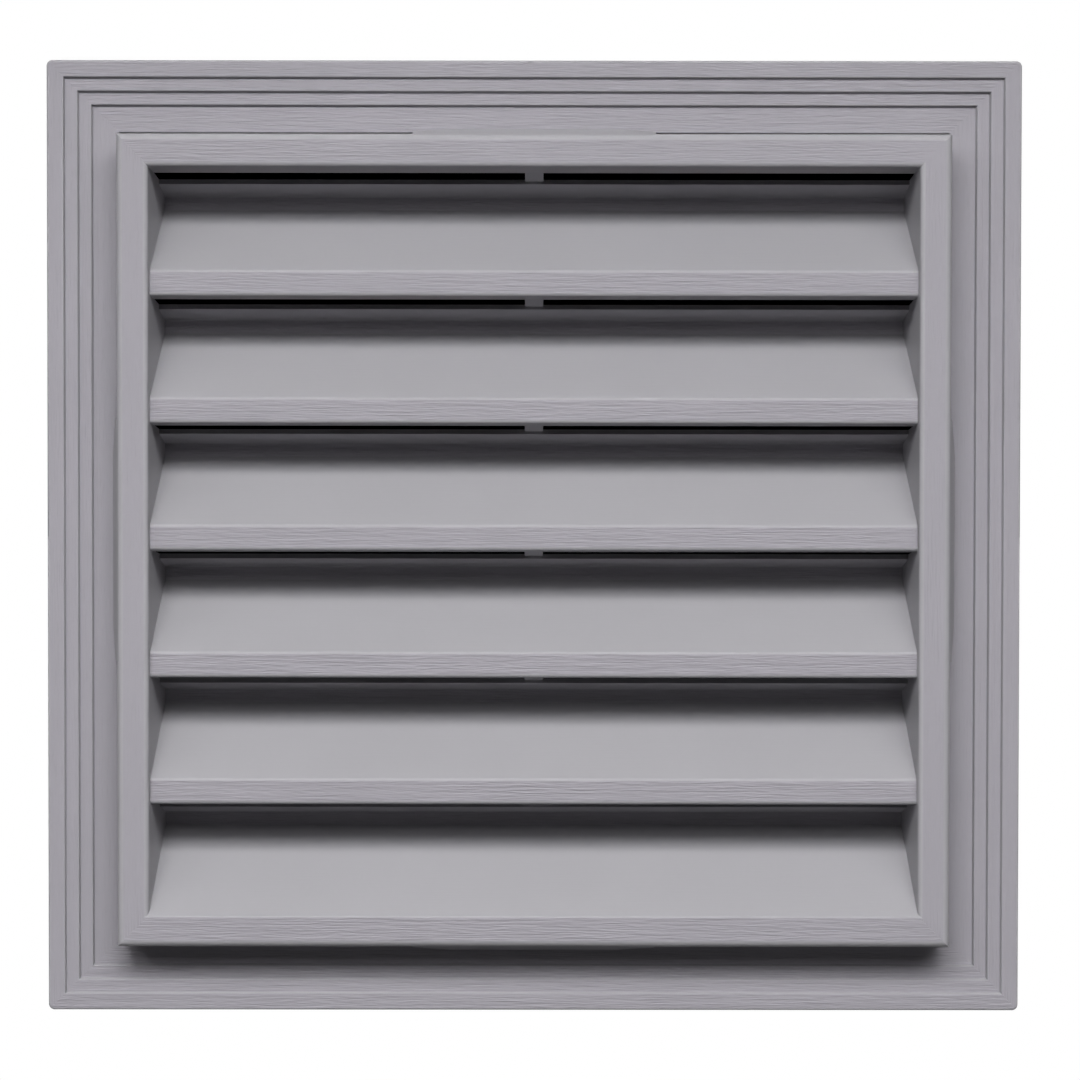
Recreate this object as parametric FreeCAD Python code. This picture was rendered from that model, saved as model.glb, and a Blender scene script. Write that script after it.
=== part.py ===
import FreeCAD, Part
import math
import os
from FreeCAD import Vector

# Louvred gable vent: a moulded louvre body, a stepped surround ring that snaps over it, and an insect screen.
# X runs to the right, Y into the wall and Z up. The origin is the middle of the body on the wall plane,
# which is the back of the nail flange. All sizes are in millimetres and all angles in degrees.

# Louvre field
bay_count = 6
bay_pitch = 50.8
opening_width = 307.0
lip_height = 10.1
lip_setback = 5.0
lip_top_radius = 2.0
lip_bottom_radius = 1.8
blade_depth = 38.0
back_wall_height = 5.5
bend_radius = 0.5

# Air slot behind each lip, with the rain shelf that follows it
return_depth = 9.9
slot_depth = 13.0
shutoff_angle = 3.8
shelf_angle = 13.6
tie_width = 7.4

# Face frame and collar of the body
stile_width = 12.7
top_rail = 13.45
sill_face = 12.3
wall = 2.2
body_depth = 53.5
face_outer_radius = 3.0
face_inner_radius = 2.2
sill_radius = 1.2
jamb_draft = 1.3

# Nail flange
flange_width = 20.0
nail_width = 5.0
nail_length = 22.0
nail_inset = 10.0
nail_spacing_across = 220.0
nail_spacing_upright = 190.0

# Surround ring: bands from the outer edge inwards, each one step further back
rim_band = 6.7
outer_band = 5.4
inner_band = 5.3
seat_band = 11.0
ring_step = 2.0
ring_step_draft = 0.5
ring_wall = 2.0
ring_depth = 19.0
ring_return = 9.0
ring_outer_draft = 0.4
ring_corner_radius = 2.4
ring_edge_radius = 1.0
ring_step_radius = 0.4
ring_clearance_across = 2.3
ring_clearance_upright = 1.85
ring_lift = 1.5
face_above_ring = 19.0
web_count = 4
web_pitch = 96.0
web_thickness = 1.6
web_setback = 1.0

# Snap bars in the middle of each side, and the gussets that stop the ring behind
snap_height = 4.4
snap_end_height = 3.0
snap_length = 68.0
snap_base_length = 98.0
snap_depth = 13.0
snap_land = 4.0
snap_play = 0.15
gusset_count = 4
gusset_pitch = 96.0
gusset_thickness = 2.0
gusset_front = 6.5
gusset_foot = 14.0

# Insect screen and the stakes that hold it
screen_thickness = 1.0
screen_bar = 3.0
screen_columns = 10
screen_column_pitch = 31.0
screen_rows_per_bay = 2
screen_margin = 4.0
screen_top_gap = 0.5
stake_width = 1.8
stake_clearance = 0.2
stake_head_width = 5.2
stake_head_taper = 1.0
stake_head_height = 1.0
stake_column_step = 4

# How far shapes overlap at a seam, how far cutting shapes stand past what they cut, and what counts as nothing
seam_overlap = 1.0
tool_margin = 1.0
sliver = 0.02

# Places worked out from the sizes above
face_y = -body_depth
lip_y = face_y + lip_setback
blade_back_y = lip_y + blade_depth + wall
shelf_front = return_depth + slot_depth
shelf_top = -shelf_front * math.tan(math.radians(shutoff_angle))
shelf_bottom = shelf_top - wall / math.cos(math.radians(shelf_angle))
back_wall_top = shelf_bottom - (blade_depth - shelf_front) * math.tan(math.radians(shelf_angle))
back_wall_bottom = back_wall_top - back_wall_height
slope_rise = (back_wall_bottom + bay_pitch - lip_height) / blade_depth
sill_drop = bay_count * bay_pitch - lip_height + lip_setback * slope_rise
body_height = top_rail + sill_drop + sill_face
body_width = opening_width + 2 * stile_width
half_width = body_width / 2
half_height = body_height / 2
half_opening = opening_width / 2
first_bay_top = half_height - top_rail
face_flat = face_outer_radius + seam_overlap
ring_bands = (rim_band, outer_band, inner_band, seat_band)
ring_width = sum(ring_bands)
ring_half_width = half_width + ring_clearance_across + ring_width
ring_half_height = half_height + ring_clearance_upright + ring_width
ring_front_y = face_y + face_above_ring
ring_inner_y = ring_front_y + ring_step * (len(ring_bands) - 1)
ring_return_y = ring_inner_y + ring_return
ring_back_y = ring_front_y + ring_depth
stake_row_offset = (back_wall_top + back_wall_bottom) / 2


def offset_left(points, distance):
    """Moves an open line of points to its left, with the corners kept sharp."""
    normals = []
    for (a0, b0), (a1, b1) in zip(points, points[1:]):
        length = math.hypot(a1 - a0, b1 - b0)
        normals.append(((b0 - b1) / length, (a1 - a0) / length))
    moved = []
    for index, (a, b) in enumerate(points):
        first = normals[max(index - 1, 0)]
        second = normals[min(index, len(normals) - 1)]
        scale = distance / (1 + first[0] * second[0] + first[1] * second[1])
        moved.append((a + (first[0] + second[0]) * scale, b + (first[1] + second[1]) * scale))
    return moved


def turn(before, corner, after):
    """Positive where the line turns left at the corner, negative where it turns right."""
    a0, b0 = corner[0] - before[0], corner[1] - before[1]
    a1, b1 = after[0] - corner[0], after[1] - corner[1]
    return a0 * b1 - b0 * a1


def sheet_section(line, thickness):
    """Closed section of a sheet from its show line of (a, b, radius), with the wall to the left of it.

    A rounded corner keeps the wall's thickness through the bend, and a sharp one is sharp on both sides.
    """
    points = [(a, b) for a, b, _ in line]
    back = offset_left(points, thickness)
    section = list(line)
    for index in range(len(line) - 1, -1, -1):
        radius = line[index][2]
        if radius > 0 and 0 < index < len(line) - 1:
            left = turn(points[index - 1], points[index], points[index + 1]) > 0
            radius = max(radius - thickness, 0.0) if left else radius + thickness
        section.append((back[index][0], back[index][1], radius))
    return section


def outline(section, place):
    """Closed face through corners of (a, b, radius), with each corner rounded as far as its sides allow."""
    count = len(section)
    joints = []
    for index, (a, b, radius) in enumerate(section):
        corner = place(a, b)
        to_before = place(*section[index - 1][:2]) - corner
        to_after = place(*section[(index + 1) % count][:2]) - corner
        room = min(to_before.Length, to_after.Length) / 2
        to_before.normalize()
        to_after.normalize()
        half = to_before.getAngle(to_after) / 2
        cut = min(radius / math.tan(half), room)
        if cut < sliver:
            joints.append((corner, None, corner))
            continue
        radius = cut * math.tan(half)
        middle = (to_before + to_after).normalize() * (radius / math.sin(half) - radius)
        joints.append((corner + to_before * cut, corner + middle, corner + to_after * cut))
    edges = []
    for index, (start, middle, end) in enumerate(joints):
        if middle is not None:
            edges.append(Part.Arc(start, middle, end).toShape())
        following = joints[(index + 1) % count][0]
        if not end.isEqual(following, Part.Precision.confusion()):
            edges.append(Part.LineSegment(end, following).toShape())
    return Part.Face(Part.Wire(edges))


def prism_across(section, half_length):
    """Carries a section of (y, z) corners along X, the same length to both sides of the middle."""
    face = outline(section, lambda y, z: Vector(-half_length, y, z))
    return face.extrude(Vector(2 * half_length, 0, 0))


def prism_upright(section, low, high):
    """Carries a section of (x, y) corners along Z."""
    face = outline(section, lambda x, y: Vector(x, y, low))
    return face.extrude(Vector(0, 0, high - low))


def prism_inward(section, front, back):
    """Carries a section of (x, z) corners along Y, from front to back."""
    face = outline(section, lambda x, z: Vector(x, front, z))
    return face.extrude(Vector(0, back - front, 0))


def sharp(points):
    """Corners without a radius."""
    return [(a, b, 0.0) for a, b in points]


def rectangle(x, z, width, height, radius=0.0):
    """Corners of an upright rectangle about a point, all with the same radius."""
    left, right = x - width / 2, x + width / 2
    low, high = z - height / 2, z + height / 2
    return [(a, b, radius) for a, b in ((left, low), (right, low), (right, high), (left, high))]


def spread(count, pitch):
    """Places along a side, evenly spaced about its middle."""
    return [(index - (count - 1) / 2) * pitch for index in range(count)]


def four_sides(half_across, half_up):
    """Angle about Y, distance from the middle and half length of the top, right, bottom and left sides."""
    return (
        (0, half_up, half_across),
        (90, half_across, half_up),
        (180, half_up, half_across),
        (270, half_across, half_up),
    )


def turned(shape, angle):
    """The same shape turned about the vent's own axis."""
    copy = shape.copy()
    copy.rotate(Vector(0, 0, 0), Vector(0, 1, 0), angle)
    return copy


def joined(shapes):
    """One solid from overlapping shapes, with the seams between flush faces taken out."""
    return shapes[0].multiFuse(shapes[1:]).removeSplitter()


def mitred_frame(section, half_across, half_up, outward, inward):
    """Carries a section of (distance in from the edge, y) round a rectangle, with 45 degree corners."""
    members = []
    depths = [y for _, y, _ in section]
    for angle, reach, half_length in four_sides(half_across, half_up):
        member = prism_across([(y, reach - u, r) for u, y, r in section], half_length + outward)
        wedge = prism_inward(
            sharp((
                (-half_length - outward, reach + outward),
                (half_length + outward, reach + outward),
                (half_length - inward, reach - inward),
                (-half_length + inward, reach - inward),
            )),
            min(depths) - tool_margin,
            max(depths) + tool_margin,
        )
        members.append(turned(member.common(wedge), angle))
    return joined(members)


def collar_frame():
    """Nail flange, collar and the outer part of the face, as one bent sheet round the vent."""
    line = (
        (-flange_width, -wall, 0.0),
        (0.0, -wall, 0.0),
        (0.0, face_y, face_outer_radius),
        (stile_width - 2 * face_inner_radius, face_y, 0.0),
    )
    section = sheet_section(line, wall)
    return mitred_frame(section, half_width, half_height, flange_width + tool_margin, stile_width)


def jambs():
    """Inner part of the two stiles: the face turns round the inner edge and runs back to the screen."""
    narrowing = (blade_back_y - face_y) * math.tan(math.radians(jamb_draft))
    line = (
        (half_opening - narrowing, blade_back_y, 0.0),
        (half_opening, face_y, face_inner_radius),
        (half_width - face_flat, face_y, 0.0),
    )
    top = half_height - face_flat
    section = sheet_section(line[::-1], -wall)
    square_end = len(line)
    section[square_end] = (section[square_end][0], blade_back_y, 0.0)
    right = prism_upright(section, -top, top)
    return [right, right.mirror(Vector(0, 0, 0), Vector(1, 0, 0))]


def bay_top(bay):
    """Height of the underside, at the lip plane, of the rail or lip above a bay."""
    return first_bay_top - bay * bay_pitch


def head_return():
    """Inner part of the top rail, which turns back over the first air slot."""
    fall = math.tan(math.radians(shutoff_angle))
    line = (
        (face_y, half_height - face_flat, 0.0),
        (face_y, first_bay_top + lip_setback * fall, face_inner_radius),
        (lip_y + return_depth, first_bay_top - return_depth * fall, 0.0),
    )
    return prism_across(sheet_section(line, wall), half_opening + max(wall, face_inner_radius))


def blade(bay):
    """Rain shelf, back wall, slope and lip of one bay, as one bent sheet between the jambs."""
    top = bay_top(bay)
    line = [
        (lip_y + shelf_front, top + shelf_bottom, 0.0),
        (lip_y + blade_depth, top + back_wall_top, bend_radius),
        (lip_y + blade_depth, top + back_wall_bottom, bend_radius),
    ]
    if bay < bay_count - 1:
        fall = return_depth * math.tan(math.radians(shutoff_angle))
        line += [
            (lip_y, top - bay_pitch + lip_height, lip_top_radius),
            (lip_y, top - bay_pitch, lip_bottom_radius),
            (lip_y + return_depth, top - bay_pitch - fall, 0.0),
        ]
    else:
        line += [
            (face_y, -half_height + sill_face, sill_radius),
            (face_y, -half_height + face_flat, 0.0),
        ]
    reach = wall / 4 if bay < bay_count - 1 else max(wall, face_inner_radius)
    return prism_across(sheet_section(line, wall), half_opening + reach)


def slot_tie(bay):
    """The one part of a slot's plane that stays solid: a tie in the middle, from the lip to the shelf."""
    fall = math.tan(math.radians(shutoff_angle))
    front = return_depth - wall / 2
    back = shelf_front + wall / 2
    section = sharp((
        (lip_y + front, bay_top(bay) - front * fall),
        (lip_y + back, bay_top(bay) - back * fall - wall / 2),
        (lip_y + back, bay_top(bay) - back * fall),
        (lip_y + front, bay_top(bay) - front * fall + wall / 2),
    ))
    return prism_across(section, tie_width / 2)


def snap_bars():
    """Long wedges on the collar that the ring snaps behind, with tapered ends."""
    catch_y = ring_inner_y - snap_play
    bars = []
    for angle, reach, _ in four_sides(half_width, half_height):
        ramp = prism_across(
            sharp((
                (catch_y, reach - wall / 2),
                (catch_y, reach + snap_height),
                (catch_y - snap_land, reach + snap_height),
                (catch_y - snap_depth, reach),
                (catch_y - snap_depth, reach - wall / 2),
            )),
            snap_base_length / 2,
        )
        front_view = prism_inward(
            sharp((
                (-snap_base_length / 2, reach - wall),
                (-snap_base_length / 2, reach + snap_end_height),
                (-snap_length / 2, reach + snap_height),
                (snap_length / 2, reach + snap_height),
                (snap_base_length / 2, reach + snap_end_height),
                (snap_base_length / 2, reach - wall),
            )),
            catch_y - snap_depth - tool_margin,
            catch_y + tool_margin,
        )
        bars.append(turned(ramp.common(front_view), angle))
    return bars


def gussets():
    """Ribs from the flange up the collar on each side, whose front ends stop the ring."""
    ribs = []
    for angle, reach, _ in four_sides(half_width, half_height):
        for place in spread(gusset_count, gusset_pitch):
            rib = prism_across(
                sharp((
                    (-wall / 2, reach - wall / 2),
                    (-wall / 2, reach + gusset_foot),
                    (-wall, reach + gusset_foot),
                    (ring_return_y + snap_play, reach + gusset_front),
                    (ring_return_y + snap_play, reach - wall / 2),
                )),
                gusset_thickness / 2,
            )
            rib.translate(Vector(place, 0, 0))
            ribs.append(turned(rib, angle))
    return ribs


def nail_slots():
    """Slotted holes through the flange, two to a side, long along that side."""
    slots = []
    spacings = (nail_spacing_across, nail_spacing_upright) * 2
    for (angle, reach, _), spacing in zip(four_sides(half_width, half_height), spacings):
        for place in spread(2, spacing):
            section = rectangle(place, reach + nail_inset, nail_length, nail_width, nail_width / 2)
            slots.append(turned(prism_inward(section, -wall - tool_margin, tool_margin), angle))
    return slots


def stake_places():
    """Middle points of the stakes: three on the back walls of the top, middle and bottom blades."""
    columns = spread(3, stake_column_step * screen_column_pitch)
    rows = [bay_top(bay) + stake_row_offset for bay in (0, bay_count // 2, bay_count - 1)]
    return [(x, z) for z in rows for x in columns]


def stake(x, z):
    """Square pin through the screen with its flattened head behind it."""
    seat_y = blade_back_y + screen_thickness
    pin = prism_inward(rectangle(x, z, stake_width, stake_width), blade_back_y - wall / 2, seat_y)

    def level(y, width):
        return outline(rectangle(x, z, width, width), lambda a, b: Vector(a, y, b)).OuterWire

    head_top = level(seat_y + stake_head_height, stake_head_width - 2 * stake_head_taper)
    head = Part.makeLoft([level(seat_y, stake_head_width), head_top], True, True)
    return pin.fuse(head)


def louvre_body():
    """The whole louvre moulding."""
    pieces = [collar_frame(), head_return()]
    pieces += jambs()
    for bay in range(bay_count):
        pieces += [blade(bay), slot_tie(bay)]
    pieces += snap_bars()
    pieces += gussets()
    pieces += [stake(x, z) for x, z in stake_places()]
    moulding = joined(pieces)
    return moulding.cut(Part.makeCompound(nail_slots()))


def ring_line():
    """Show line of the ring's section: outer wall, four bands stepping back, and the inner return."""
    line = [
        (-ring_outer_draft, ring_back_y, 0.0),
        (0.0, ring_front_y, 0.0),
    ]
    inward = 0.0
    for step, band in enumerate(ring_bands):
        inward += band
        y = ring_front_y + step * ring_step
        line.append((inward, y, ring_step_radius))
        if step < len(ring_bands) - 1:
            line.append((inward + ring_step_draft, y + ring_step, 0.0))
    line.append((inward, ring_return_y, 0.0))
    return line


def ring_block():
    """Solid block inside the ring's outer faces, with rounded corners and a rounded front edge."""
    def level(y, grow):
        width = 2 * (ring_half_width + grow)
        height = 2 * (ring_half_height + grow)
        section = rectangle(0, 0, width, height, ring_corner_radius)
        return outline(section, lambda x, z: Vector(x, y, z)).OuterWire

    block = Part.makeLoft([level(ring_front_y, 0.0), level(ring_back_y, ring_outer_draft)], True, True)
    front = [edge for edge in block.Edges if edge.BoundBox.YMax < ring_front_y + sliver]
    return block.makeFillet(ring_edge_radius, front)


def ring_webs():
    """Thin cross webs inside the hollow back of the ring on each side."""
    inside = offset_left([(u, y) for u, y, _ in ring_line()], ring_wall / 2)
    back = ring_return_y - web_setback
    inside[0] = (inside[0][0], back)
    inside[-1] = (inside[-1][0], back)
    webs = []
    for angle, reach, _ in four_sides(ring_half_width, ring_half_height):
        for place in spread(web_count, web_pitch):
            web = prism_across(sharp([(y, reach - u) for u, y in inside]), web_thickness / 2)
            web.translate(Vector(place, 0, 0))
            webs.append(turned(web, angle))
    return webs


def surround_ring():
    """The stepped ring, lifted a little by its play on the body."""
    section = sheet_section(ring_line(), ring_wall)
    outward = ring_outer_draft + tool_margin
    frame = mitred_frame(section, ring_half_width, ring_half_height, outward, ring_width + tool_margin)
    ring = joined([frame] + ring_webs()).common(ring_block())
    ring.translate(Vector(0, 0, ring_lift))
    return ring


def insect_screen():
    """Flat mesh on the back of the blades, drawn with fewer and wider bars than the real weave."""
    width = screen_columns * screen_column_pitch + screen_bar
    low = bay_top(bay_count - 1) + stake_row_offset - screen_margin
    high = half_height - wall - screen_top_gap
    back_y = blade_back_y + screen_thickness
    sheet = prism_inward(rectangle(0, (low + high) / 2, width, high - low), blade_back_y, back_y)
    row_pitch = bay_pitch / screen_rows_per_bay
    row_count = (bay_count - 1) * screen_rows_per_bay + 1
    bars = [low + screen_margin + row * row_pitch for row in range(row_count)]
    bars.append(high - screen_bar / 2)
    gaps = []
    for below, above in zip(bars, bars[1:]):
        for x in spread(screen_columns, screen_column_pitch):
            gap_width = screen_column_pitch - screen_bar
            gaps.append(rectangle(x, (below + above) / 2, gap_width, above - below - screen_bar))
    hole = stake_width + 2 * stake_clearance
    gaps += [rectangle(x, z, hole, hole) for x, z in stake_places()]
    tools = [prism_inward(gap, blade_back_y - tool_margin, back_y + tool_margin) for gap in gaps]
    return sheet.cut(Part.makeCompound(tools))


def main():
    """Builds each piece and writes it under its own name."""
    os.makedirs("parts", exist_ok=True)
    pieces = {
        "louvre_body": louvre_body(),
        "surround_ring": surround_ring(),
        "insect_screen": insect_screen(),
    }
    for name, shape in pieces.items():
        solids = len(shape.Solids)
        box = shape.BoundBox
        print(name, solids, "solid,", round(shape.Volume), "mm3,", "valid" if shape.isValid() else "not valid")
        print("  x", round(box.XMin, 2), round(box.XMax, 2), "y", round(box.YMin, 2), round(box.YMax, 2),
              "z", round(box.ZMin, 2), round(box.ZMax, 2))
        shape.exportStep("parts/" + name + ".step")


main()
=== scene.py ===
import logging
import math
from dataclasses import dataclass
from enum import Enum

import bpy
import numpy as np
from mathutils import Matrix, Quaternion, Vector


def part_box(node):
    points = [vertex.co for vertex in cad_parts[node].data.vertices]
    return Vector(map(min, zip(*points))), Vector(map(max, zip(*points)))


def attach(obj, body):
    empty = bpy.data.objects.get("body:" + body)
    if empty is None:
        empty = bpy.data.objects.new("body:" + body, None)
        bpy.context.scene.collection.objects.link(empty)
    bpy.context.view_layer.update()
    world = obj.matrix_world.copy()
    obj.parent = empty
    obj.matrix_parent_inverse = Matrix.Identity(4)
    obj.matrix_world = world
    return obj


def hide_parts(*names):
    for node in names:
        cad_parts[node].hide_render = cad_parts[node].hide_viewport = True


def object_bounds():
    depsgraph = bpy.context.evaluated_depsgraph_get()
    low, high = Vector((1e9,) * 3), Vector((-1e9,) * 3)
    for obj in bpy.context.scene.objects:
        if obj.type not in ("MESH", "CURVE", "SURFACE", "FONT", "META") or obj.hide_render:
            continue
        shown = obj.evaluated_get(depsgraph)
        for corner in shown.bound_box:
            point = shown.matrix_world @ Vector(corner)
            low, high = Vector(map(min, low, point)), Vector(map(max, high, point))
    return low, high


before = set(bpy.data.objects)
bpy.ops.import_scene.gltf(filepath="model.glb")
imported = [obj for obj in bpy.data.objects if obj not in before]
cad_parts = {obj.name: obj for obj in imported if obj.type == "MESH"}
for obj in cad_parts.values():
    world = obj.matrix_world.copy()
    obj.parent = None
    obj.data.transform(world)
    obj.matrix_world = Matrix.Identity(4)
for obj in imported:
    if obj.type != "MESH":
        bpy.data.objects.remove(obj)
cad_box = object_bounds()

LOG = logging.getLogger("gable_vent")
CARRIER = "root"
BODY = "louvre_body"
RING = "surround_ring"
SCREEN = "insect_screen"

Colour = tuple[float, float, float, float]
Corner = tuple[float, float, float]
Span = tuple[float, float]
Socket = bpy.types.NodeSocket

# Every new face has four corners: a wire's sides and ends, and the sheets of the stage
QUAD = 4
WHITE: Colour = (1.0, 1.0, 1.0, 1.0)
BLACK: Colour = (0.0, 0.0, 0.0, 1.0)


class Axis(Enum):
    """The two ways that a wire of the screen can run."""

    ACROSS = "across"
    UPRIGHT = "upright"


@dataclass(frozen=True)
class LouvreSizes:
    """Sizes of the louvre body that its own box doesn't give, in metres and degrees.

    A bay's top is the underside of the rail or lip above it, at the plane of the lips. From there the plane
    of the bay's air slot falls towards the back.
    """

    flange: float = 0.0200
    stile: float = 0.0127
    top_rail: float = 0.01345
    bay_count: int = 6
    bay_pitch: float = 0.0508
    lip_setback: float = 0.0050
    lip_return: float = 0.0099
    slot: float = 0.0130
    slot_fall: float = 3.8

    def half_opening(self) -> float:
        """Half of the width between the two stiles."""
        low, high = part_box(BODY)
        return (high.x - low.x) / 2 - self.flange - self.stile

    def bay_tops(self) -> np.ndarray:
        """Heights of the bays' tops, from the first bay down."""
        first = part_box(BODY)[1].z - self.flange - self.top_rail
        return first - np.arange(self.bay_count) * self.bay_pitch


@dataclass(frozen=True)
class Clouds:
    """Settings of one noise: its finer layers, how strong they are, and how far it is bent."""

    detail: float
    roughness: float
    bend: float = 0.0


class Graph:
    """One shader node tree, with short calls that add nodes and link them."""

    def __init__(self, tree: bpy.types.NodeTree) -> None:
        """Empties the tree and keeps it."""
        self.tree = tree
        self.tree.nodes.clear()

    def add(self, kind: str, inputs: dict[str | int, object], **settings: object) -> bpy.types.Node:
        """Adds a node.

        Args:
            kind: Blender's name for the node type.
            inputs: For each input's name or number, a socket to link or a constant to set.
            settings: Properties of the node itself, such as its operation.

        Returns:
            The new node.
        """
        node = self.tree.nodes.new(kind)
        for name, value in settings.items():
            setattr(node, name, value)
        for key, value in inputs.items():
            if isinstance(value, Socket):
                self.tree.links.new(value, node.inputs[key])
            else:
                node.inputs[key].default_value = value
        return node

    def math(self, operation: str, first: object, second: object = 0.0) -> Socket:
        """One arithmetic step on two numbers or sockets."""
        return self.add("ShaderNodeMath", {0: first, 1: second}, operation=operation).outputs[0]

    def split(self, vector: Socket) -> tuple[Socket, Socket, Socket]:
        """The x, y and z of a vector."""
        node = self.add("ShaderNodeSeparateXYZ", {0: vector})
        return node.outputs[0], node.outputs[1], node.outputs[2]

    def position(self) -> Socket:
        """Object coordinates, in metres in the vent's own frame."""
        return self.add("ShaderNodeTexCoord", {}).outputs["Object"]

    def ramp(self, value: Socket, start: float, end: float, low: float, high: float) -> Socket:
        """Carries a value smoothly from low at start to high at end.

        Args:
            value: The socket to read.
            start: Where the change begins.
            end: Where the change ends.
            low: Result at start and before it.
            high: Result at end and after it.

        Returns:
            The eased value.
        """
        inputs = {"Value": value, "From Min": start, "From Max": end, "To Min": low, "To Max": high}
        return self.add("ShaderNodeMapRange", inputs, interpolation_type="SMOOTHSTEP").outputs[0]

    def noise(self, vector: Socket, clouds: Clouds) -> Socket:
        """Cloudy noise, about one cloud for each unit of the vector."""
        inputs = {"Vector": vector, "Scale": 1.0, "Detail": clouds.detail, "Roughness": clouds.roughness,
                  "Distortion": clouds.bend}
        return self.add("ShaderNodeTexNoise", inputs).outputs[0]

    def stretched(self, vector: Socket, cell: Corner) -> Socket:
        """Divides a position by the size of one cell of a pattern."""
        scale = tuple(1.0 / size for size in cell)
        return self.add("ShaderNodeMapping", {"Vector": vector, "Scale": scale}).outputs[0]

    def mix_vectors(self, share: Socket, first: Socket, second: Socket) -> Socket:
        """Mixes two vectors by a share from 0 to 1. Blender's mix node has them at inputs 4 and 5."""
        node = self.add("ShaderNodeMix", {0: share, 4: first, 5: second}, data_type="VECTOR")
        return node.outputs[1]

    def mix_colours(self, share: Socket, first: Colour, second: Colour) -> Socket:
        """Mixes two colours by a share from 0 to 1. Blender's mix node has them at inputs 6 and 7."""
        node = self.add("ShaderNodeMix", {0: share, 6: first, 7: second}, data_type="RGBA")
        return node.outputs[2]

    def mix_surfaces(self, share: Socket, first: bpy.types.Node, second: bpy.types.Node) -> Socket:
        """Mixes two shaders by a share from 0 to 1."""
        slots = {0: share, 1: first.outputs[0], 2: second.outputs[0]}
        return self.add("ShaderNodeMixShader", slots).outputs[0]

    def finish(self, surface: Socket, output: str = "ShaderNodeOutputMaterial") -> None:
        """Ends the tree in its output."""
        self.add(output, {"Surface": surface})


def new_material(name: str) -> tuple[bpy.types.Material, Graph]:
    """Makes an empty material.

    Args:
        name: The material's name.

    Returns:
        The material, and the graph of its nodes.
    """
    material = bpy.data.materials.new(name)
    material.use_nodes = True
    return material, Graph(material.node_tree)


@dataclass(frozen=True)
class GrainLay:
    """Where the grain turns upright: outside the 45 degree mitres, and only beside the blades.

    All sizes are in metres in the vent's own frame.
    """

    half_across: float
    half_up: float
    middle_up: float
    blade_reach: float


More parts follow.
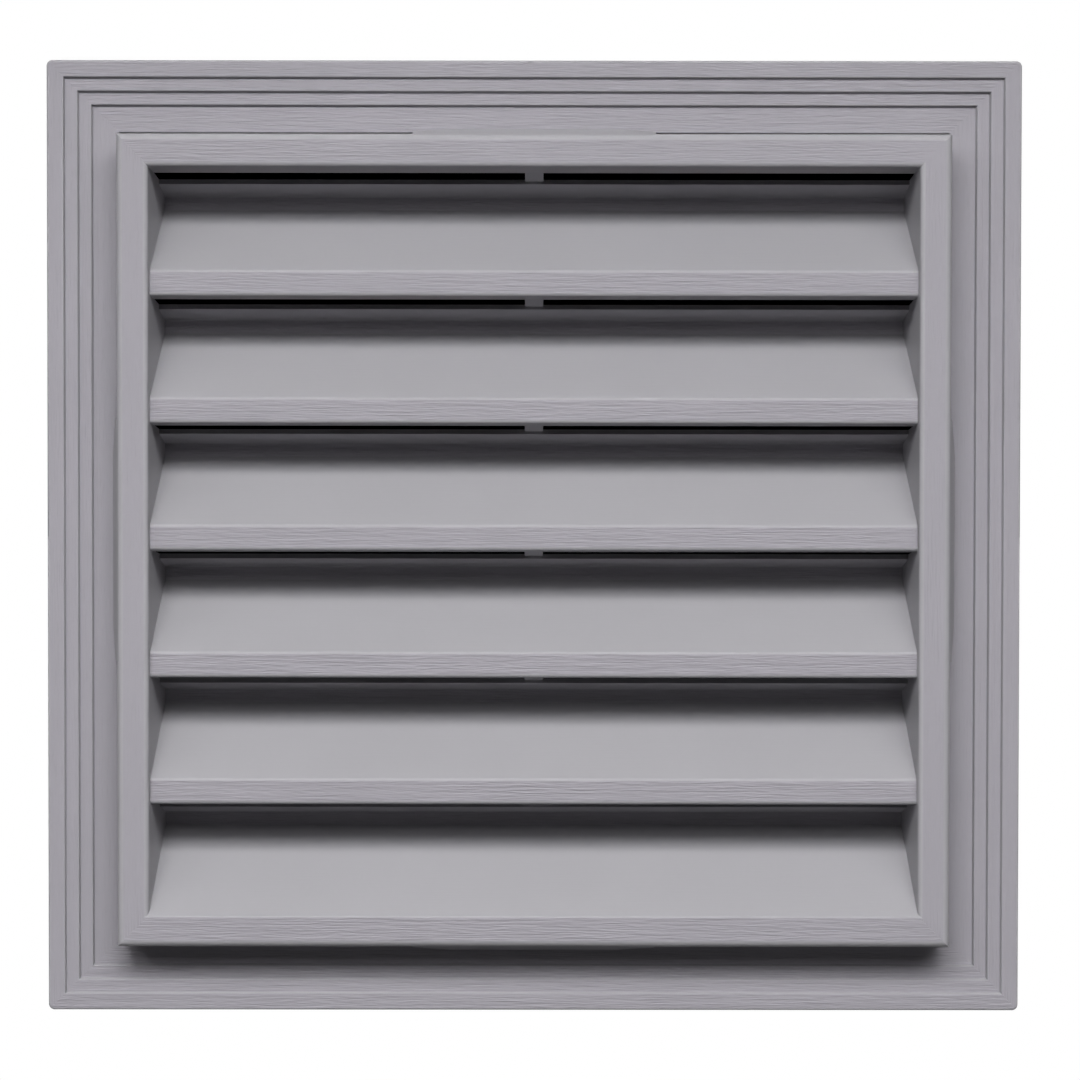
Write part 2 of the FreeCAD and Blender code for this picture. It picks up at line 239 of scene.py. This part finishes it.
@dataclass(frozen=True)
class WoodgrainPlastic:
    """Matt grey plastic with a shallow wood grain on its show faces and smooth sides.

    A show face looks to the front, so the y of its normal is -1, the value called front. The full grain
    ends where that y has risen to flat_end, and a trace of it runs on over the slopes until slope_end. Show
    faces have a roughness of their own and a darker colour, which is painted shade: it stands for the
    grain's micro-shadow and makes the front faces darker than the slopes, so the rounded edges between them
    show as lighter lines, a painted highlight. The grain is fine streaks and broader bands together,
    and it is weaker on the upright members. Lengths, pitches and the grain's depth are in metres.
    """

    colour: Colour = (0.314, 0.308, 0.326, 1.0)
    # Darker colour of the show faces: painted shade, which leaves the rounded edges as lighter lines, a
    # painted highlight
    face_shade_colour: Colour = (0.288, 0.276, 0.303, 1.0)
    streak_length: float = 0.013
    streak_pitch: float = 0.0008
    band_length: float = 0.060
    band_pitch: float = 0.0032
    band_share: float = 0.5
    streak_noise: Clouds = Clouds(2.0, 0.6, 0.10)
    upright_relief: float = 0.4
    slope_relief: float = 0.25
    front: float = -1.0
    flat_end: float = -0.97
    slope_end: float = -0.42
    grain_depth: float = 0.00050
    grain_swing: float = 0.35
    grain_tint: float = 0.012
    cloud: float = 0.045
    cloud_noise: Clouds = Clouds(2.0, 0.5)
    cloud_swing: Span = (0.25, 0.75)
    cloud_tint: float = 0.012
    smooth_roughness: float = 0.38
    grain_roughness: float = 0.60
    specular: float = 0.10

    def upright_share(self, graph: Graph, position: Socket, lay: GrainLay) -> Socket:
        """Tells the upright members from the ones across.

        A point is on an upright member where |x| - half_across is more than |z| - half_up, which is the
        outside of the two mitre lines, and where |x| is past the ends of the blades.

        Args:
            graph: The material's graph.
            position: Object coordinates.
            lay: Where the mitres and the blades' ends are.

        Returns:
            1 on the upright members and 0 elsewhere.
        """
        x, _, z = graph.split(position)
        across = graph.math("ABSOLUTE", x)
        up = graph.math("ABSOLUTE", graph.math("SUBTRACT", z, lay.middle_up))
        corner = lay.half_across - lay.half_up
        past_mitre = graph.math("GREATER_THAN", graph.math("SUBTRACT", across, up), corner)
        beside_blades = graph.math("GREATER_THAN", across, lay.blade_reach)
        return graph.math("MULTIPLY", past_mitre, beside_blades)

    def streaks(self, graph: Graph, position: Socket, upright: Socket, size: Span) -> Socket:
        """Noise drawn out along the grain, so that each cloud becomes a streak.

        Args:
            graph: The material's graph.
            position: Object coordinates.
            upright: 1 where the grain runs up and 0 where it runs across.
            size: Length and pitch of one streak.

        Returns:
            The streaks' height, around one half.
        """
        length, pitch = size
        lying = graph.stretched(position, (length, pitch, pitch))
        standing = graph.stretched(position, (pitch, pitch, length))
        return graph.noise(graph.mix_vectors(upright, lying, standing), self.streak_noise)

    def face_shares(self, graph: Graph) -> tuple[Socket, Socket]:
        """Finds the show faces by their normals.

        Args:
            graph: The material's graph.

        Returns:
            A share that is 1 on the show faces, where the painted shade goes, and 0 elsewhere, and the
            share of the grain that shows.
        """
        normal = graph.add("ShaderNodeNewGeometry", {}).outputs["Normal"]
        facing = graph.split(normal)[1]
        show_face = graph.ramp(facing, self.front, self.flat_end, 1.0, 0.0)
        slope = graph.ramp(facing, self.front, self.slope_end, self.slope_relief, 0.0)
        return show_face, graph.math("MAXIMUM", show_face, slope)

    def grain(self, graph: Graph, position: Socket, shown: Socket, lay: GrainLay) -> Socket:
        """Height of the grain, above and below the plain surface.

        The height is fine + band_share * broad, less the middle of that sum, times the share that shows,
        and times upright_relief on the upright members.

        Args:
            graph: The material's graph.
            position: Object coordinates.
            shown: The share of the grain that shows.
            lay: Where the grain turns.

        Returns:
            The height, around zero.
        """
        upright = self.upright_share(graph, position, lay)
        fine = self.streaks(graph, position, upright, (self.streak_length, self.streak_pitch))
        broad = self.streaks(graph, position, upright, (self.band_length, self.band_pitch))
        height = graph.math("ADD", fine, graph.math("MULTIPLY", broad, self.band_share))
        level = graph.math("SUBTRACT", height, (1.0 + self.band_share) / 2)
        relief = graph.math("MULTIPLY", shown, graph.ramp(upright, 0.0, 1.0, 1.0, self.upright_relief))
        return graph.math("MULTIPLY", level, relief)

    def tone(self, graph: Graph, position: Socket, show_face: Socket, grain: Socket) -> Socket:
        """Colour of the plastic, darker on the show faces as painted shade, a little lighter on the grain's
        ridges and slightly cloudy all over.

        Args:
            graph: The material's graph.
            position: Object coordinates.
            show_face: 1 on the show faces, which take the painted shade, and 0 elsewhere.
            grain: Height of the grain.

        Returns:
            The colour.
        """
        streak = graph.ramp(grain, -self.grain_swing, self.grain_swing,
                            1.0 - self.grain_tint, 1.0 + self.grain_tint)
        clouds = graph.noise(graph.stretched(position, (self.cloud,) * 3), self.cloud_noise)
        cloudy = graph.ramp(clouds, *self.cloud_swing, 1.0 - self.cloud_tint, 1.0 + self.cloud_tint)
        # Show faces take the darker colour, painted shade; rounded edges and slopes keep the lighter one,
        # so edges show painted highlight lines
        plain = graph.mix_colours(show_face, self.colour, self.face_shade_colour)
        shade = graph.math("MULTIPLY", cloudy, streak)
        return graph.add("ShaderNodeVectorMath", {0: plain, "Scale": shade}, operation="SCALE").outputs[0]

    def material(self, name: str, lay: GrainLay) -> bpy.types.Material:
        """Makes the material for one moulding.

        Args:
            name: The material's name.
            lay: Where that moulding's grain turns.

        Returns:
            The material.
        """
        material, graph = new_material(name)
        position = graph.position()
        show_face, shown = self.face_shares(graph)
        grain = self.grain(graph, position, shown, lay)
        bump = graph.add("ShaderNodeBump", {"Height": grain, "Strength": 1.0, "Distance": self.grain_depth})
        shader = graph.add("ShaderNodeBsdfPrincipled", {
            "Base Color": self.tone(graph, position, show_face, grain),
            "Roughness": graph.ramp(show_face, 0.0, 1.0, self.smooth_roughness, self.grain_roughness),
            "Normal": bump.outputs[0],
            "Specular IOR Level": self.specular,
        })
        graph.finish(shader.outputs[0])
        return material


@dataclass(frozen=True)
class CoatedWire:
    """Black coated wire, a little dusty where the coat has dulled. A patch's size is in metres."""

    colour: Colour = (0.008, 0.008, 0.009, 1.0)
    dust: Colour = (0.016, 0.016, 0.017, 1.0)
    patch: float = 0.006
    patch_noise: Clouds = Clouds(3.0, 0.55)
    patch_swing: Span = (0.45, 0.75)
    roughness: float = 0.80
    specular: float = 0.05

    def material(self, name: str) -> bpy.types.Material:
        """Makes the wire's material, with soft patches of dust.

        Args:
            name: The material's name.

        Returns:
            The material.
        """
        material, graph = new_material(name)
        patches = graph.noise(graph.stretched(graph.position(), (self.patch,) * 3), self.patch_noise)
        dusty = graph.ramp(patches, *self.patch_swing, 0.0, 1.0)
        shader = graph.add("ShaderNodeBsdfPrincipled", {
            "Base Color": graph.mix_colours(dusty, self.colour, self.dust),
            "Roughness": self.roughness,
            "Specular IOR Level": self.specular,
        })
        graph.finish(shader.outputs[0])
        return material


@dataclass
class Moulding:
    """One of the two plastic mouldings, whose shape is the CAD node itself."""

    node: str
    finish: WoodgrainPlastic
    blade_reach: float = 0.0

    def dress(self) -> bpy.types.Object:
        """Gives the node its plastic, with mitres taken from the node's own box.

        Returns:
            The dressed node.
        """
        low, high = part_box(self.node)
        lay = GrainLay(
            half_across=(high.x - low.x) / 2,
            half_up=(high.z - low.z) / 2,
            middle_up=(high.z + low.z) / 2,
            blade_reach=self.blade_reach,
        )
        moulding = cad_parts[self.node]
        moulding.data.materials.clear()
        moulding.data.materials.append(self.finish.material(self.node + "_plastic", lay))
        return moulding


@dataclass
class WovenScreen:
    """Plain woven wire mesh that takes the place of the CAD node's wide bars.

    The wires keep clear of the stakes: a stake passes through the middle of an opening, so wires lie half
    a pitch to both sides of every stake. All sizes are in metres.
    """

    node: str
    finish: CoatedWire
    bay_pitch: float
    stake_spacing: float = 0.124
    stake_inset: float = 0.004
    openings_between_stakes: int = 39
    openings_per_bay: int = 16
    wire_radius: float = 0.000225
    crimp: float = 0.00025

    def places(self, low: float, high: float, stake: float, pitch: float) -> np.ndarray:
        """Where parallel wires lie between two edges.

        A wire lies at stake + (n + 1/2) * pitch, for every whole n that keeps it inside the edges.

        Args:
            low: First edge.
            high: Second edge.
            stake: A place that has to fall in the middle of an opening.
            pitch: Distance from one wire to the next.

        Returns:
            The wires' places, from low to high.
        """
        first = math.ceil((low + self.wire_radius - stake) / pitch - 0.5)
        last = math.floor((high - self.wire_radius - stake) / pitch - 0.5)
        return stake + (np.arange(first, last + 1) + 0.5) * pitch

    def strands(self, wires: np.ndarray, crossings: np.ndarray, ends: Span, run: Axis,
                middle_y: float) -> tuple[np.ndarray, np.ndarray]:
        """One family of parallel wires as four-sided tubes.

        A wire's station is at each crossing and at both ends. Its middle is at depth middle_y + crimp * s,
        where s is +1 and -1 in turn along the wire and from wire to wire, and 0 at the ends. Around it lie
        four corners, wire_radius away in depth and sideways.

        Args:
            wires: Places of the wires, sideways.
            crossings: Places of the wires that they cross, along their run.
            ends: Where the wires are cut off.
            run: Which way the wires run.
            middle_y: Depth of the mesh's middle plane.

        Returns:
            The points, and the corner numbers of each face.
        """
        along = np.concatenate(([ends[0]], crossings, [ends[1]]))
        shape = (len(wires), len(along), QUAD)
        turn = np.add.outer(np.arange(shape[0]), np.arange(shape[1])) % 2 * 2.0 - 1.0
        turn[:, [0, -1]] = 0.0
        if run is Axis.UPRIGHT:
            turn = -turn
        angle = np.arange(QUAD) * (2 * math.pi / QUAD)
        sideways = np.broadcast_to(wires[:, None, None] + self.wire_radius * np.cos(angle), shape)
        depth = middle_y + self.crimp * turn[:, :, None] + self.wire_radius * np.sin(angle)
        length = np.broadcast_to(along[None, :, None], shape)
        order = (length, depth, sideways) if run is Axis.ACROSS else (sideways, depth, length)
        points = np.stack(order, axis=-1).reshape(-1, 3)
        number = np.arange(math.prod(shape)).reshape(shape)
        following = np.roll(number, -1, axis=2)
        sides = np.stack((number[:, :-1], following[:, :-1], following[:, 1:], number[:, 1:]), axis=-1)
        faces = np.concatenate((sides.reshape(-1, QUAD), number[:, 0, ::-1], number[:, -1]))
        if run is Axis.ACROSS:
            faces = faces[:, ::-1]
        return points, faces

    def build(self) -> bpy.types.Object:
        """Weaves both families of wires into one mesh, which replaces the CAD bars.

        Returns:
            The screen.
        """
        low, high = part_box(self.node)
        middle_y = (low.y + high.y) / 2
        columns = self.places(low.x, high.x, 0.0, self.stake_spacing / self.openings_between_stakes)
        rows = self.places(low.z, high.z, low.z + self.stake_inset, self.bay_pitch / self.openings_per_bay)
        lying = self.strands(rows, columns, (low.x, high.x), Axis.ACROSS, middle_y)
        standing = self.strands(columns, rows, (low.z, high.z), Axis.UPRIGHT, middle_y)
        points = np.concatenate((lying[0], standing[0]))
        faces = np.concatenate((lying[1], standing[1] + len(lying[0])))
        mesh = bpy.data.meshes.new("woven_screen")
        mesh.from_pydata(points, [], faces)
        mesh.polygons.foreach_set("use_smooth", np.ones(len(faces), dtype=bool))
        mesh.materials.append(self.finish.material("screen_wire_coat"))
        mesh.update()
        screen = bpy.data.objects.new("woven_screen", mesh)
        bpy.context.scene.collection.objects.link(screen)
        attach(screen, CARRIER)
        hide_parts(self.node)
        return screen


@dataclass(frozen=True)
class Lamp:
    """A soft rectangular lamp, placed by its angles as the vent sees it, in degrees and metres.

    It faces the vent, or is turned down from there by its tilt, like a panel hung flat overhead. A lamp
    that isn't mirrored lights the vent but shows in no reflection.
    """

    name: str
    azimuth: float
    elevation: float
    distance: float
    width: float
    height: float
    level: float
    tilt: float = 0.0
    mirrored: bool = True

    def hang(self) -> bpy.types.Object:
        """Adds the lamp.

        Its power is level * pi squared * distance squared / cos(tilt), at which a white surface that faces
        it, and nothing else, shows that level.

        Returns:
            The lamp.
        """
        turn, lift, tilt = (math.radians(angle) for angle in (self.azimuth, self.elevation, self.tilt))
        toward = Vector((math.sin(turn) * math.cos(lift), -math.cos(turn) * math.cos(lift), math.sin(lift)))
        data = bpy.data.lights.new(self.name, "AREA")
        data.shape = "RECTANGLE"
        data.size = self.width
        data.size_y = self.height
        data.energy = self.level * (math.pi * self.distance) ** 2 / math.cos(tilt)
        lamp = bpy.data.objects.new(self.name, data)
        lamp.location = toward * self.distance
        lamp.visible_glossy = self.mirrored
        facing = (-toward).to_track_quat("-Z", "Y")
        lamp.rotation_euler = (facing @ Quaternion((1.0, 0.0, 0.0), -tilt)).to_euler()
        bpy.context.scene.collection.objects.link(lamp)
        return lamp


@dataclass
class Studio:
    """Camera, lamps, sky, floor and the black sheets of painted shade in the slots, in metres and radians.
    """

    louvres: LouvreSizes
    camera_place: Corner = (0.00138, -1.11897, 0.02205)
    camera_yaw: float = -0.0010
    camera_pitch: float = -0.0201
    camera_roll: float = 0.0012
    lens: float = 89.31
    sensor: float = 36.0
    floor_drop: float = 0.30
    floor_reach: float = 12.0
    shadow_reach: float = 0.35
    white_reach: float = 1.00
    shadow_share: float = 0.55
    floor_colour: Colour = (0.82, 0.82, 0.82, 1.0)
    floor_bounce: Colour = (0.05, 0.05, 0.05, 1.0)
    sky_front: float = 0.0
    sky_back: float = 0.60
    sky_turn: Span = (-0.2, 0.7)
    slot_tuck: float = 0.0005
    slot_bury: float = 0.0003

    def lamps(self) -> list[Lamp]:
        """A flat key panel overhead, weaker lamps in front and at both sides, and one for the back.

        Returns:
            The lamps, not hung yet.
        """
        return [
            Lamp("key_lamp", azimuth=-1.0, elevation=29.0, distance=1.40, width=1.00, height=0.70,
                 level=0.965, tilt=61.5),
            Lamp("front_lamp", azimuth=-2.0, elevation=19.5, distance=2.3, width=1.00, height=0.30,
                 level=0.15),
            Lamp("left_lamp", azimuth=-44.0, elevation=26.0, distance=1.6, width=0.70, height=0.40,
                 level=0.155, tilt=35.0),
            Lamp("right_lamp", azimuth=34.0, elevation=27.0, distance=1.6, width=0.50, height=0.40,
                 level=0.14, tilt=35.0),
            Lamp("back_lamp", azimuth=150.0, elevation=18.0, distance=2.0, width=1.60, height=1.00,
                 level=1.40, mirrored=False),
        ]

    def seen_directly(self, graph: Graph) -> Socket:
        """Tells what is seen from what only lights the vent.

        Args:
            graph: The graph of a material or of the sky.

        Returns:
            1 for what the camera sees, straight or by gloss or glass, and 0 for the rest.
        """
        path = graph.add("ShaderNodeLightPath", {})
        seen = graph.math("MAXIMUM", path.outputs["Is Camera Ray"], path.outputs["Is Glossy Ray"])
        return graph.math("MAXIMUM", seen, path.outputs["Is Transmission Ray"])

    def sky(self) -> bpy.types.World:
        """White where it is seen, and where it only lights the vent dark in front and soft grey behind.

        Returns:
            The world, in use.
        """
        world = bpy.data.worlds.new("studio_sky")
        world.use_nodes = True
        graph = Graph(world.node_tree)
        direction = graph.add("ShaderNodeTexCoord", {}).outputs["Generated"]
        level = graph.ramp(graph.split(direction)[1], *self.sky_turn, self.sky_front, self.sky_back)
        lighting = graph.add("ShaderNodeBackground", {"Color": WHITE, "Strength": level})
        backdrop = graph.add("ShaderNodeBackground", {"Color": WHITE, "Strength": 1.0})
        mixed = graph.mix_surfaces(self.seen_directly(graph), lighting, backdrop)
        graph.finish(mixed, "ShaderNodeOutputWorld")
        bpy.context.scene.world = world
        return world

    def sheet(self, name: str, corners: list[Corner], material: bpy.types.Material) -> bpy.types.Object:
        """A stage piece of one or more flat sheets with four corners each.

        Args:
            name: The piece's name.
            corners: The corners of each sheet in turn, going round.
            material: What it is made of.

        Returns:
            The piece.
        """
        mesh = bpy.data.meshes.new(name)
        mesh.from_pydata(corners, [], np.arange(len(corners)).reshape(-1, QUAD))
        mesh.materials.append(material)
        mesh.update()
        piece = bpy.data.objects.new(name, mesh)
        bpy.context.scene.collection.objects.link(piece)
        return piece

    def floor(self) -> bpy.types.Object:
        """Pale floor below the vent: it takes the shadow near the vent and is plain white further off.

        Returns:
            The floor.
        """
        material, graph = new_material("pale_floor")
        radius = graph.add("ShaderNodeVectorMath", {0: graph.position()}, operation="LENGTH")
        plain = graph.ramp(radius.outputs["Value"], self.floor_drop + self.shadow_reach,
                           self.floor_drop + self.white_reach, 1.0 - self.shadow_share, 1.0)
        seen = self.seen_directly(graph)
        colour = graph.mix_colours(seen, self.floor_bounce, self.floor_colour)
        matt = graph.add("ShaderNodeBsdfDiffuse", {"Color": colour})
        white = graph.add("ShaderNodeEmission", {"Color": WHITE, "Strength": 1.0})
        graph.finish(graph.mix_surfaces(graph.math("MULTIPLY", plain, seen), matt, white))
        height = cad_box[0].z - self.floor_drop
        reach = self.floor_reach
        corners = [(-reach, -reach, height), (reach, -reach, height), (reach, reach, height),
                   (-reach, reach, height)]
        return self.sheet("floor", corners, material)

    def slot_shade_sheets(self) -> bpy.types.Object:
        """Black sheets in the air slots, painted shade that stands for the unlit space such a vent is fixed
        over.

        A slot's plane lies depth * tan(slot_fall) below its bay's top, at each depth behind the lips. The
        sheet starts slot_tuck before the slot and slot_bury above that plane, inside the lip's return, and
        ends as far past the slot and below the plane, inside the shelf. It is black from the front and
        clear from behind, so that the screen and the backs of the blades show.

        Returns:
            The sheets, as one piece.
        """
        material, graph = new_material("painted_slot_shade")
        behind = graph.add("ShaderNodeNewGeometry", {}).outputs["Backfacing"]
        # Black from the front: painted shade for the unlit space behind the slots
        black = graph.add("ShaderNodeBsdfDiffuse", {"Color": BLACK})
        clear = graph.add("ShaderNodeBsdfTransparent", {})
        graph.finish(graph.mix_surfaces(behind, black, clear))
        sizes = self.louvres
        edges = np.array((sizes.lip_return, sizes.lip_return + sizes.slot))
        outward = np.array((-1.0, 1.0))
        depths = edges + outward * self.slot_tuck
        drops = depths * math.tan(math.radians(sizes.slot_fall)) + outward * self.slot_bury
        front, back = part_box(BODY)[0].y + sizes.lip_setback + depths
        right = sizes.half_opening() + self.slot_tuck
        left = -right
        corners = []
        for bay_top in sizes.bay_tops():
            upper, lower = bay_top - drops
            corners += [(left, front, upper), (left, back, lower),
                        (right, back, lower), (right, front, upper)]
        return self.sheet("slot_shade_sheets", corners, material)

    def camera(self) -> bpy.types.Object:
        """The photograph's view, with its place and lens in the vent's frame.

        Returns:
            The camera, in use.
        """
        data = bpy.data.cameras.new("front_camera")
        data.sensor_width = self.sensor
        data.lens = self.lens
        camera = bpy.data.objects.new("front_camera", data)
        camera.location = self.camera_place
        camera.rotation_euler = (math.pi / 2 + self.camera_pitch, -self.camera_roll, self.camera_yaw)
        bpy.context.scene.collection.objects.link(camera)
        bpy.context.scene.camera = camera
        return camera

    def build(self) -> None:
        """Sets up everything round the vent."""
        bpy.context.scene.view_settings.view_transform = "Standard"
        self.camera()
        self.sky()
        for lamp in self.lamps():
            lamp.hang()
        self.floor()
        self.slot_shade_sheets()


def main() -> None:
    """Dresses the two mouldings, weaves the screen and sets up the studio."""
    logging.basicConfig(level=logging.INFO, format="%(name)s: %(message)s")
    louvres = LouvreSizes()
    plastic = WoodgrainPlastic()
    for moulding in (
        Moulding(BODY, plastic, blade_reach=louvres.half_opening()),
        Moulding(RING, plastic),
    ):
        piece = moulding.dress()
        LOG.info("%s: %d faces of CAD, dressed", piece.name, len(piece.data.polygons))
    screen = WovenScreen(SCREEN, CoatedWire(), louvres.bay_pitch).build()
    LOG.info("%s: %d faces woven", screen.name, len(screen.data.polygons))
    Studio(louvres).build()


if __name__ == "__main__":
    main()
